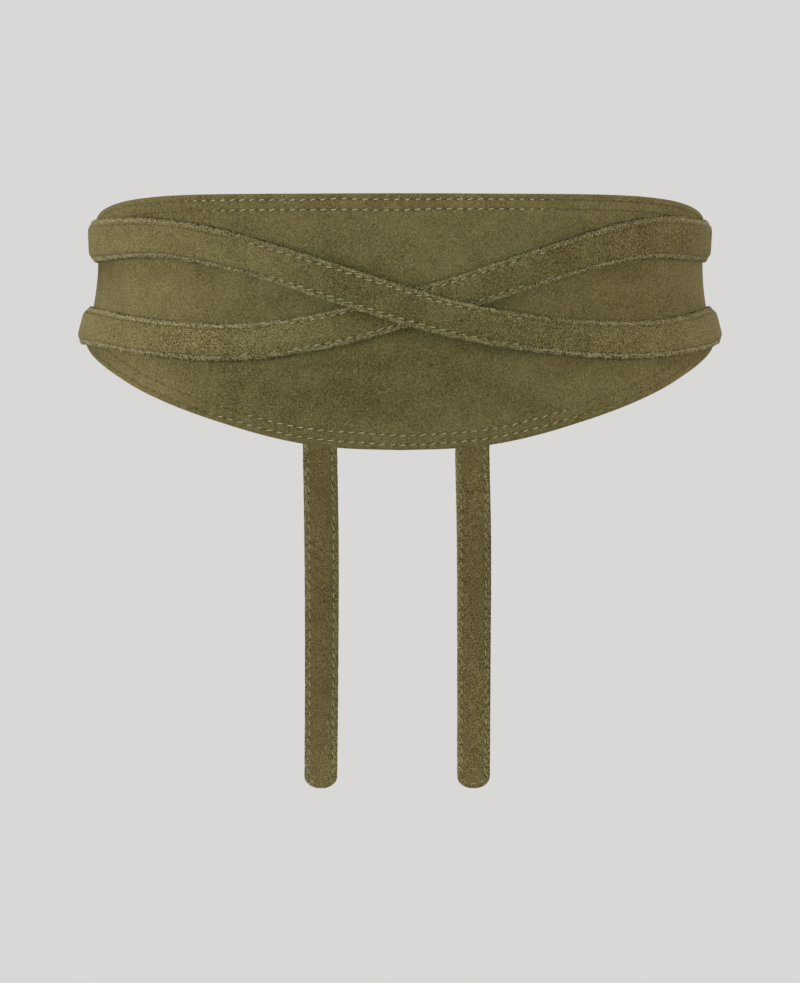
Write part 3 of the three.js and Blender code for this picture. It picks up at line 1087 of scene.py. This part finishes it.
def stitch_form(part):
    """One stitch along x: its points, faces and how dark each point's painted shade is."""
    turns = 2 * np.pi * np.arange(STITCH_SIDES) / STITCH_SIDES
    along, width, rise, dark = np.array(STITCH_RINGS).T[..., None] * np.ones(STITCH_SIDES)
    half = width * STITCH_WIDTH[part] / 2
    height = STITCH_FLATNESS * half * np.sin(turns) + rise
    points = np.stack([along * STITCH_LENGTH[part] / 2, half * np.cos(turns), height], axis=-1)
    ring, side = np.mgrid[: len(STITCH_RINGS) - 1, :STITCH_SIDES]
    here = ring * STITCH_SIDES + side
    beside = ring * STITCH_SIDES + (side + 1) % STITCH_SIDES
    walls = np.stack([beside, beside + STITCH_SIDES, here + STITCH_SIDES, here], axis=-1)
    end = np.array([[0, 1, 2, 3], [3, 4, 5, 0]])
    far_end = end[:, ::-1] + (len(STITCH_RINGS) - 1) * STITCH_SIDES
    return points.reshape(-1, 3), np.concatenate([walls.reshape(-1, 4), end, far_end]), dark.ravel()


def stitched_line(points, outs, part, seed, length=None, sooner=None):
    """Stitches on a line over a surface, as points, faces and masks. They are halfway between
    the holes, which are at whole pitches of the line's length, or of the length that is given."""
    length = line_lengths(points) if length is None else length
    first = math.ceil(length[0] / STITCH_PITCH - 0.5) + 0.5
    places = np.arange(first * STITCH_PITCH, length[-1], STITCH_PITCH)
    centre = along_line(points, length, places)
    ahead = along_line(points, length, np.minimum(places + STITCH_AIMS_OVER, length[-1]))
    behind = along_line(points, length, np.maximum(places - STITCH_AIMS_OVER, length[0]))
    along = unit(ahead - behind)
    out = squared_to(along, unit(along_line(outs, length, places)))

    draw = np.random.default_rng(seed)
    count = len(places)
    turn = np.radians(STITCH_TURN + draw.normal(0, STITCHES_VARY["turn"], count))[:, None]
    size = draw.normal(1, STITCHES_VARY["size"], count)
    covered = COVERED[part] * draw.uniform(0, 1, count) ** 2
    unevenly = draw.uniform(*STITCHES_VARY["nap"], count)
    way = along * np.cos(turn) + np.cross(out, along) * np.sin(turn)
    beside = np.cross(out, way)

    hangs = hangs_at(centre)
    nap = nap_over_seams(centre, part, sooner)
    if part == "tie":
        nap = np.maximum(nap, coarse_nap(centre))
    closed = np.clip(nap * unevenly, 0, 1)
    sunk = SUNK_UNDER_NAP[part] * closed + SUNK_WHERE_TIES_HANG * hangs
    sunk = sunk + SUNK_WHERE_COVERED * covered

    form, faces, dark = stitch_form(part)
    x, y, z = form.T[..., None]
    in_hole = dark == 1
    shorter = (size * (1 - SHORTER_UNDER_NAP[part] * closed))[:, None, None]
    wider = mix(1, WIDER_HOLES[part], in_hole)[:, None]
    depth = sunk[:, None, None] * (1 - HOLE_STAYS_OPEN * in_hole)[:, None]
    solid = centre[:, None] + way[:, None] * x * shorter + beside[:, None] * y * wider
    solid = solid + out[:, None] * (z - depth)

    faded = FADED_BY["covered"] * covered + FADED_BY["hanging"] * hangs + FADED_BY["nap"] * closed
    # How dark the painted shade in the holes is.
    hole_shade = OPEN_HOLES[part] * (1 - HOLES_CLOSED_BY["nap"] * closed)
    hole_shade = hole_shade * (1 - HOLES_CLOSED_BY["hanging"] * hangs)
    masks = {
        "hole": np.outer(hole_shade, dark).ravel(),
        "faded": np.repeat(np.clip(faded, 0, 1), len(form)),
    }
    all_faces = faces + (np.arange(count) * len(form))[:, None, None]
    return solid.reshape(-1, 3), all_faces.reshape(-1, 4), masks


def join_parts(name, parts, material, smooth=True):
    """One object from parts that each have points, faces and masks."""
    starts = np.cumsum([0] + [len(points) for points, _, _ in parts[:-1]])
    points = np.concatenate([points for points, _, _ in parts])
    faces = np.concatenate([faces + start for (_, faces, _), start in zip(parts, starts)])
    masks = {
        mask: np.concatenate([part_masks[mask] for _, _, part_masks in parts])
        for mask in parts[0][2]
    }
    return make_mesh(name, points, [faces], material, masks, smooth)


def panel_stitching(material):
    start = PANEL_ROWS["starts"]
    clear = PANEL_ROWS["clear_of_edges"]
    distance = np.linspace(start, PANEL_GIRTH - start, PANEL_ROWS["points"])
    angle = panel_angle(distance)
    top, bottom, top_cos, bottom_cos = panel_edges(distance)
    (top_seams, above), (bottom_seams, below) = panel_seams(distance)
    rows = [(top - seam / top_cos, above) for seam in top_seams]
    rows += [(bottom + seam / bottom_cos, below) for seam in bottom_seams]
    parts = []
    for number, (height, length) in enumerate(rows):
        keep = (height < top - clear) & (height > bottom + clear)
        outs = waist_normal(angle, height)
        sooner = PANEL_ROWS_CLOSE_SOONER[number]
        for lift, way in ((panel_lift(distance, height) - SEAM_PUCKER, 1), (-PANEL_WALL, -1)):
            line = lifted_point(angle, height, lift)[keep]
            seed = SEEDS["panel_stitches"] + 2 * number + way
            parts.append(stitched_line(line, way * outs[keep], "panel", seed, length[keep], sooner))
    return join_parts("panel_stitching", parts, material)


def tie_seam_lines(stations, outer):
    """The lines of a tie's seam on one face: both long sides, and round the tip. Each has its
    points, the way out, and its lengths along the tie where the stitches keep to those."""
    height_of = outer_height if outer else inner_height
    sides = []
    for edge, way in (("upper", 1), ("lower", -1)):
        inset = seam_inset(stations, edge)
        height = height_of(inset[:, None], stations, edge)
        half = way * (stations["width"] / 2 - inset)[:, None]
        sides.append(stations["centre"] + stations["out"] * height + stations["across"] * half)
    first, second = sides
    turns = np.linspace(0, np.pi, BEND_POINTS)[1:-1]
    depth = TIP_LENGTH - TIP_SEAM
    tip = (
        (first[-1] + second[-1]) / 2
        + (first[-1] - second[-1]) / 2 * np.cos(turns)[:, None]
        + stations["along"][-1] * (depth * np.sin(turns))[:, None]
    )
    skip = np.searchsorted(stations["distance"], FIRST_TIE_STITCH)
    outs = stations["out"] * (1 if outer else -1)
    lengths = stations["distance"][skip:]
    return [
        (first[skip:], outs[skip:], lengths),
        (second[skip:], outs[skip:], lengths),
        (tip, np.repeat(outs[-1:], len(tip), axis=0), None),
    ]


def seam_across(stations, at):
    """The line of the seam that crosses a tie where it is sewn to the panel, and its ways out."""
    place = np.searchsorted(stations["distance"], at)
    here = {key: values[place] for key, values in stations.items()}
    half = here["width"] / 2 - TIE_SEAM
    across = np.linspace(-half, half, SEAM_ACROSS_POINTS)[:, None]
    height = here["thickness"] / 2 - SEAM_ACROSS_SUNK
    line = here["centre"] + here["out"] * height + here["across"] * across
    return line, np.repeat(here["out"][None], len(across), axis=0)


def tie_stitching(tie, stations, material, seed):
    parts = []
    for outer in (True, False):
        for line, outs, lengths in tie_seam_lines(stations, outer):
            parts.append(stitched_line(line, outs, "tie", seed, lengths))
    for place in SEAMS_ACROSS_TIE:
        parts.append(stitched_line(*seam_across(stations, place), "tie", seed + 1))
    return join_parts(f"{tie['name']}_tie_stitching", parts, material)


# The raw edges of the ties: fine fibres, light tufts where the edge is frayed, and the nap under the
# edge, painted nearly black as the shade there. "root" is how high they root over the tie's mid
# level at the rim, "band" how far in from the edge, and "above" the share of them on the upper edge.
SPIKES = [
    {
        "per_mm": 5, "length": 0.85, "width": 0.16, "band": 1.6, "outward": (0.2, 0.9),
        "root": (-0.8, 0.6), "shade": (0.35, 1.2), "above": 0.5,
    },
    {
        "per_mm": 3.2, "length": 1.2, "width": 0.42, "band": 0.9, "outward": (0.1, 0.7),
        "root": (0.0, 0.7), "shade": (0.1, 1.3), "above": 0.5,
    },
    # The nap under the edge, painted nearly black as shade.
    {
        "per_mm": 2.3, "length": 0.95, "width": 0.5, "band": 0.1, "outward": (-0.5, 0.0),
        "root": (-1.4, -0.6), "shade": (-0.25, 0.1), "above": 0.9,
    },
]
SPIKES_VARY = {"sideways": (0.2, 1.0), "along": 0.6, "length": (0.4, 1.2)}
SPIKE_BAND_POWER = 1.6
SPIKE_RIM = 0.3
SPIKE_ROOT = {"in": 0.12, "deep": 0.08}
SPIKE_TWIST = 0.3
SHORTER_WHERE_TIES_HANG = 0.45
FRAYED_EVERYWHERE = 0.55
FRAYED = [
    # angle, half width, how much
    (-48, 26, 0.5),
    (48, 26, 0.5),
]


def frayed_at(points):
    frayed = FRAYED_EVERYWHERE
    for angle, half_width, amount in FRAYED:
        frayed = frayed + amount * bell(angle_of(points), angle, half_width)
    return frayed


def spikes(stations, kind, draw):
    """Thin closed spikes that stand off both edges, as points, faces and masks."""
    length = stations["distance"]
    count = int(length[-1] * kind["per_mm"] * 2)
    places = np.sort(draw.uniform(0, length[-1], count))
    here = {key: along_line(values, length, places) for key, values in stations.items()}
    hangs = hangs_at(here["centre"])
    side = np.where(draw.uniform(0, 1, count) < kind["above"], 1.0, -1.0)
    inset = kind["band"] * draw.uniform(0, 1, count) ** SPIKE_BAND_POWER
    face = outer_height(inset[:, None], here, "upper")[:, 0]
    level = np.where(inset < SPIKE_RIM, draw.uniform(*kind["root"], count), face)

    def vector(across, out, along=0):
        parts = (("across", side * across), ("out", out), ("along", along * np.ones(count)))
        return sum(here[key] * amount[:, None] for key, amount in parts)

    root = here["centre"] + vector(
        here["width"] / 2 - inset - SPIKE_ROOT["in"], np.minimum(level, face) - SPIKE_ROOT["deep"]
    )
    sideways = draw.uniform(*SPIKES_VARY["sideways"], count)
    outward = draw.uniform(*kind["outward"], count)
    way = unit(vector(sideways, outward, draw.normal(0, SPIKES_VARY["along"], count)))
    reach = kind["length"] * draw.uniform(*SPIKES_VARY["length"], count)
    reach = reach * frayed_at(here["centre"]) * mix(1, SHORTER_WHERE_TIES_HANG, hangs)
    first = unit(np.cross(way, here["along"] + SPIKE_TWIST * here["out"]))
    second = np.cross(way, first)
    corners = [root + way * reach[:, None]]
    for turn in (0, 2 * math.pi / 3, 4 * math.pi / 3):
        offset = first * math.cos(turn) + second * math.sin(turn)
        corners.append(root + offset * kind["width"] / 2)
    form = np.array([[0, 1, 2], [0, 2, 3], [0, 3, 1], [1, 3, 2]])
    faces = form + (np.arange(count) * len(corners))[:, None, None]
    shade = draw.uniform(*kind["shade"], count)
    masks = {"shade": np.repeat(shade, len(corners)), "brown": np.repeat(hangs, len(corners))}
    return np.stack(corners, axis=1).reshape(-1, 3), faces.reshape(-1, 3), masks


def build_fibres(tie, stations, material, seed):
    draw = np.random.default_rng(seed)
    parts = [spikes(stations, kind, draw) for kind in SPIKES]
    return join_parts(f"{tie['name']}_tie_fibres", parts, material, smooth=False)


# Materials.

# Nearly all noise is in this range.
NOISE_RANGE = (0.3, 0.7)


class Nodes:
    """A material's node tree, with short ways to add and join its nodes."""

    def __init__(self, name):
        self.material = bpy.data.materials.new(name)
        self.material.use_nodes = True
        self.tree = self.material.node_tree
        self.shader = self.tree.nodes["Principled BSDF"]
        self.place = self.add("ShaderNodeTexCoord").outputs["Object"]

    def put(self, node, **inputs):
        """Links or sets a node's inputs, whose names have _ for a space."""
        for name, value in inputs.items():
            self.join(node.inputs[name.replace("_", " ")], value)
        return node

    def join(self, socket, value):
        if isinstance(value, bpy.types.NodeSocket):
            self.tree.links.new(value, socket)
        else:
            socket.default_value = value

    def add(self, kind, **inputs):
        return self.put(self.tree.nodes.new(kind), **inputs)

    def mask(self, name):
        node = self.add("ShaderNodeAttribute")
        node.attribute_name = name
        return node.outputs["Fac"]

    def noise(self, size, detail=2.0, roughness=0.5):
        """Noise whose grains are about this many millimetres."""
        looks = {"Scale": 1 / (size * MM), "Detail": detail, "Roughness": roughness}
        return self.add("ShaderNodeTexNoise", Vector=self.place, **looks).outputs["Fac"]

    def uneven(self, size, low=0.0, high=1.0, detail=2.0):
        """Noise spread so that nearly all of it is between two values."""
        return self.spread(self.noise(size, detail), *NOISE_RANGE, low, high)

    def math(self, operation, first, second=0.0):
        node = self.add("ShaderNodeMath")
        node.operation = operation
        self.join(node.inputs[0], first)
        self.join(node.inputs[1], second)
        return node.outputs[0]

    def scaled(self, value, by):
        return self.math("MULTIPLY", value, by)

    def total(self, *values):
        result = values[0]
        for value in values[1:]:
            result = self.math("ADD", result, value)
        return result

    def spread(self, value, low, high, to_low=0.0, to_high=1.0):
        """The value moved from one range to another, and kept within it."""
        ranges = {"From_Min": low, "From_Max": high, "To_Min": to_low, "To_Max": to_high}
        return self.add("ShaderNodeMapRange", Value=value, **ranges).outputs["Result"]

    def mix_colour(self, share, first, second, blend="MIX", within=True):
        node = self.add("ShaderNodeMix")
        node.data_type = "RGBA"
        node.clamp_factor = within
        node.blend_type = blend
        for number, value in ((0, share), (6, first), (7, second)):
            self.join(node.inputs[number], value)
        return node.outputs[2]

    def bump(self, height, strength, distance):
        node = self.add("ShaderNodeBump", Height=height, Strength=strength, Distance=distance * MM)
        return node.outputs["Normal"]

    def finished(self, **inputs):
        """The material, with these inputs of its shader."""
        self.put(self.shader, **inputs)
        return self.material


def colour(red, green, blue):
    """A colour as seen, from 0 to 255, as the shader's linear one."""
    def linear(level):
        share = level / 255
        return share / 12.92 if share <= 0.04045 else ((share + 0.055) / 1.055) ** 2.4
    return (linear(red), linear(green), linear(blue), 1.0)


SUEDE_DARK = colour(45, 37, 1)
SUEDE_LIGHT = colour(107, 102, 68)
SUEDE_SHEEN = colour(196, 181, 128)
BROWN_TINT = (1.0, 0.93, 0.92, 1.0)
RAW_EDGE_AND_HIGHLIGHT = colour(136, 130, 97)
SEAM_SHADOW = colour(28, 25, 11)
THREAD_DARK = colour(122, 119, 88)
THREAD_LIGHT = colour(166, 163, 130)
# The colour below is painted shade: in the needle holes, and in the nap under the ties' edges.
DEEP_SHADE = colour(20, 17, 6)
FLOOR = colour(206, 205, 203)
BACKDROP = colour(217, 216, 214)

# The suede's unevenness, from its soft blotches to its fine specks: the size of each, and how much
# each one, and the soft marks of the nap's own lightness and painted light and shade, show in the
# colour, and in the relief. A raw edge, whose lightness is partly its own and partly a painted
# highlight, is as light as FRIZZ says: from one "light" value to the other, as grain and specks
# together go from one "nap" value to the other.
NAP_SIZE = {"blotches": 42, "marks": 9, "grain": 1.0, "specks": 0.45}
NAP_SHOWS = {"specks": 0.5, "grain": 0.22, "blotches": 0.07, "marks": 0.08, "tone_and_shade": 1.2}
NAP_RELIEF = {"grain": 0.7, "specks": 0.4, "depth": 0.25, "strength": 0.5}
COARSER_WHERE_LIGHTER = 0.8
FRIZZ = {"nap": (-0.32, 0.48), "light": (-0.1, 1.1)}
FLECK_RANGE = (0.25, 0.75)
FLECK_POWER = 1.5
FLECK_MEAN = 0.6
SEAM_SHADOW_SHOWS = 0.66

# The size of the thread's twist, and how much of it shows as suede where it is faded and as the
# painted shade of a hole where it is one. The fibres are uneven at a size of their own.
THREAD_TWIST = 0.6
THREAD_FADES = 0.8
HOLE_SHOWS = 0.9
FIBRE_NOISE = 0.9


def flecks(nodes, noise):
    """Noise about 0 whose light flecks stand out more than its dark ones."""
    raised = nodes.math("POWER", nodes.spread(noise, *FLECK_RANGE), FLECK_POWER)
    return nodes.spread(raised, 0, 1, -FLECK_MEAN, 1)


def suede(name, coarseness):
    """Napped suede: soft blotches, brushed marks and a fine grain, lighter at raw edges partly by a
    painted highlight, with painted seam shadows and soft marks of painted light and shade.
    """
    nodes = Nodes(name)
    nap = {
        "blotches": nodes.uneven(NAP_SIZE["blotches"], -1, 1),
        "marks": nodes.uneven(NAP_SIZE["marks"], -1, 1, detail=4.0),
        "grain": flecks(nodes, nodes.noise(NAP_SIZE["grain"], roughness=0.6)),
        "specks": flecks(nodes, nodes.noise(NAP_SIZE["specks"], detail=1.0)),
        "tone_and_shade": nodes.mask("tone_and_shade"),
    }
    lighter = nodes.scaled(nap["tone_and_shade"], COARSER_WHERE_LIGHTER)
    coarse = nodes.total(nodes.mask("coarse"), coarseness, lighter)
    shown = {layer: nodes.scaled(nap[layer], by) for layer, by in NAP_SHOWS.items()}
    shown["specks"] = nodes.math("MULTIPLY", shown["specks"], coarse)
    level = nodes.math("MAXIMUM", nodes.total(*shown.values(), 0.5), 0.0)
    frizz = nodes.spread(nodes.total(nap["grain"], nap["specks"]), *FRIZZ["nap"], *FRIZZ["light"])

    base = nodes.mix_colour(level, SUEDE_DARK, SUEDE_LIGHT, within=False)
    base = nodes.mix_colour(nodes.math("MULTIPLY", nodes.mask("raw_edge_and_highlight"), frizz), base, RAW_EDGE_AND_HIGHLIGHT)
    base = nodes.mix_colour(nodes.mask("brown"), base, BROWN_TINT, "MULTIPLY")
    shadow = nodes.scaled(nodes.mask("seam"), SEAM_SHADOW_SHOWS)
    relief = nodes.total(*(nodes.scaled(nap[key], NAP_RELIEF[key]) for key in ("grain", "specks")))
    return nodes.finished(
        Base_Color=nodes.mix_colour(shadow, base, SEAM_SHADOW),
        Normal=nodes.bump(relief, NAP_RELIEF["strength"] * coarseness, NAP_RELIEF["depth"]),
        Roughness=nodes.spread(nap["marks"], -1, 1, 0.9, 1.0),
        Specular_IOR_Level=0.15,
        Sheen_Weight=0.14,
        Sheen_Roughness=0.45,
        Sheen_Tint=SUEDE_SHEEN,
    )


def thread():
    """Pale thread, faded where the nap covers it, and with painted shade where it goes down into its
    hole.
    """
    nodes = Nodes("thread")
    twist = nodes.uneven(THREAD_TWIST)
    base = nodes.mix_colour(twist, THREAD_DARK, THREAD_LIGHT)
    base = nodes.mix_colour(nodes.scaled(nodes.mask("faded"), THREAD_FADES), base, SUEDE_LIGHT)
    return nodes.finished(
        Base_Color=nodes.mix_colour(nodes.scaled(nodes.mask("hole"), HOLE_SHOWS), base, DEEP_SHADE),
        Normal=nodes.bump(twist, 0.4, 0.1),
        Roughness=0.8,
        Specular_IOR_Level=0.05,
    )


def fibre_suede():
    """The suede's own fibres, lighter and darker ones, and ones painted nearly black as the shade
    under the edges.
    """
    nodes = Nodes("suede_fibres")
    level = nodes.total(nodes.mask("shade"), nodes.uneven(FIBRE_NOISE, -0.2, 0.2))
    light = nodes.mix_colour(level, SUEDE_DARK, RAW_EDGE_AND_HIGHLIGHT)
    base = nodes.mix_colour(nodes.spread(level, -0.3, 0.1), DEEP_SHADE, light)
    base = nodes.mix_colour(nodes.mask("brown"), base, BROWN_TINT, "MULTIPLY")
    return nodes.finished(Base_Color=base, Roughness=0.95, Specular_IOR_Level=0.1)


# The stage.

# The floor is a wide disc. It is matt near the middle, and as bright as the backdrop further out.
FLOOR_HEIGHT = -420
FLOOR_RADIUS = 1600
FLOOR_SIDES = 96
FLOOR_GLOWS = (250, 1100)

LIGHTS = [
    # name, place, size, power, colour
    ("left", (-2000, -800, 250), 1200, 50, (1.0, 0.96, 0.94)),
    ("left_back", (-2000, 300, 400), 1200, 13, (1.0, 0.96, 0.94)),
    ("right", (2000, -1000, 300), 1200, 28, (1.0, 0.93, 0.82)),
    ("below", (0, -2200, -700), 900, 33, (1.0, 1.0, 1.0)),
    ("top", (0, -500, 2100), 1200, 16, (1.0, 1.0, 1.0)),
    ("behind", (300, 2000, 900), 1200, 22, (1.0, 1.0, 1.0)),
]


def floor_material():
    nodes = Nodes("pale_floor")
    length = nodes.add("ShaderNodeVectorMath")
    length.operation = "LENGTH"
    nodes.join(length.inputs[0], nodes.place)
    start, end = FLOOR_GLOWS
    nodes.put(nodes.shader, Base_Color=FLOOR, Roughness=1.0, Specular_IOR_Level=0.0)
    blend = nodes.add("ShaderNodeMixShader")
    nodes.join(blend.inputs[0], nodes.spread(length.outputs["Value"], start * MM, end * MM))
    nodes.join(blend.inputs[1], nodes.shader.outputs["BSDF"])
    nodes.join(blend.inputs[2], nodes.add("ShaderNodeEmission", Color=BACKDROP).outputs["Emission"])
    nodes.put(nodes.tree.nodes["Material Output"], Surface=blend.outputs["Shader"])
    return nodes.material


def build_floor():
    turns = np.linspace(0, 2 * np.pi, FLOOR_SIDES, endpoint=False)
    rim = np.stack([np.cos(turns), np.sin(turns), np.zeros(FLOOR_SIDES)], axis=-1)
    points = np.concatenate([rim * FLOOR_RADIUS, [[0, 0, 0]]])
    side = np.arange(FLOOR_SIDES)
    faces = np.stack([side, (side + 1) % FLOOR_SIDES, np.full(FLOOR_SIDES, FLOOR_SIDES)], axis=-1)
    floor = make_mesh("floor", points, [faces], floor_material(), {}, smooth=False)
    floor.location.z = FLOOR_HEIGHT * MM


def build_world():
    world = bpy.data.worlds.new("studio")
    world.use_nodes = True
    background = world.node_tree.nodes["Background"]
    background.inputs["Color"].default_value = BACKDROP
    background.inputs["Strength"].default_value = 1.0
    bpy.context.scene.world = world


def build_lights():
    for name, place, size, power, tint in LIGHTS:
        light = bpy.data.lights.new(name, "AREA")
        light.shape = "DISK"
        light.size = size * MM
        light.energy = power
        light.color = tint
        lamp = bpy.data.objects.new(name, light)
        lamp.location = [part * MM for part in place]
        aim = -lamp.location
        lamp.rotation_euler = aim.to_track_quat("-Z", "Y").to_euler()
        bpy.context.scene.collection.objects.link(lamp)


def build_camera():
    data = bpy.data.cameras.new("camera")
    data.sensor_width = SENSOR
    data.lens = SENSOR * PIXELS_PER_SLOPE / PICTURE_HEIGHT
    camera = bpy.data.objects.new("camera", data)
    camera.location = (0, -LENS_DISTANCE * MM, LENS_HEIGHT * MM)
    camera.rotation_euler = (math.pi / 2, 0, 0)
    bpy.context.scene.collection.objects.link(camera)
    bpy.context.scene.camera = camera


def dress(piece, slot, *nodes):
    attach(piece, "root")
    if nodes:
        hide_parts(*nodes)


def build_belt():
    panel_material = suede("panel_suede", 1.0)
    tie_material = suede("tie_suede", 1.15)
    thread_material = thread()
    fibre_material = fibre_suede()

    panel = build_panel(panel_material)
    dress(panel, "panel_suede", "front_panel")
    stitching = panel_stitching(thread_material)
    dress(stitching, "thread")
    length, tall, area = panel_flat_size()

    for number, tie in enumerate((RIGHT_TIE, LEFT_TIE)):
        stations = tie_stations(tie)
        whole = with_tip(stations)
        piece = build_tie(tie, whole, tie_material, SEEDS["ties"] + 10 * number)
        dress(piece, "tie_suede", tie["node"])
        seed = SEEDS["tie_stitches"] + 10 * number
        stitching = tie_stitching(tie, stations, thread_material, seed)
        dress(stitching, "thread")
        fibres = build_fibres(tie, stations, fibre_material, SEEDS["fibres"] + number)
        dress(fibres, "tie_suede")


bpy.context.scene.view_settings.view_transform = "Standard"
build_camera()
build_world()
build_lights()
build_floor()
build_belt()
